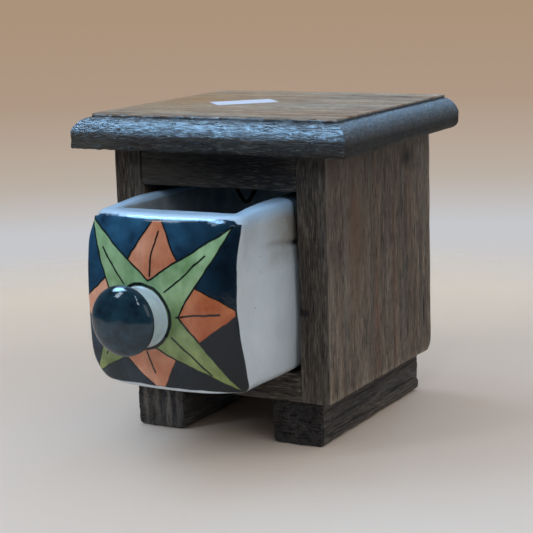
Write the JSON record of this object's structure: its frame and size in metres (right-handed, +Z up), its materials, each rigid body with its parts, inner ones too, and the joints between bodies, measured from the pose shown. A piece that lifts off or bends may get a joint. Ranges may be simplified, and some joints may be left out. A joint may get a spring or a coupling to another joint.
{
  "type": "desktop drawer cabinet",
  "caption": "Small stained wooden cabinet on runner feet with a moulded top and a glazed ceramic drawer that slides out on the bottom board to a wire stop.",
  "frame": {"origin": "on the ground under the feet, in the middle of the whole outline with the drawer at rest, part open", "axes": "+Z up, +Y towards the back, +X to the right of someone facing the drawer; the drawer slides along Y"},
  "size_m": [0.1168, 0.153, 0.1239],
  "materials": {
    "stained_top_wood": "stained and thinly varnished",
    "stained_side_wood": "stained, dull",
    "dark_rail_wood": "dark stain, dull",
    "dark_foot_wood": "dark stain, rough sawn",
    "iron_wire": "blackened",
    "nail_steel": "bright drawn",
    "label_paper": "smooth",
    "glazed_ceramic_body": "gloss glaze, hand painted face",
    "glazed_ceramic_knob": "gloss glaze"
  },
  "bodies": {
    "cabinet": {"top_board": "stained_top_wood", "side_panel_left": "stained_side_wood", "side_panel_right": "stained_side_wood", "front_rail": "dark_rail_wood", "bottom_board": "stained_side_wood", "back_panel": "stained_side_wood", "foot_left": "dark_foot_wood", "foot_right": "dark_foot_wood", "drawer_stop_wire": "iron_wire", "top_brads": "nail_steel", "side_brads": "nail_steel", "foot_nails": "nail_steel", "paper_label": "label_paper"},
    "drawer": {"drawer_tub": "glazed_ceramic_body", "drawer_knob": "glazed_ceramic_knob"}
  },
  "joints": [
    {"name": "drawer_slide", "type": "slide", "parent": "cabinet", "child": "drawer", "axis": [0, -1, 0], "range_m": [-0.0322, 0.04]}
  ]
}
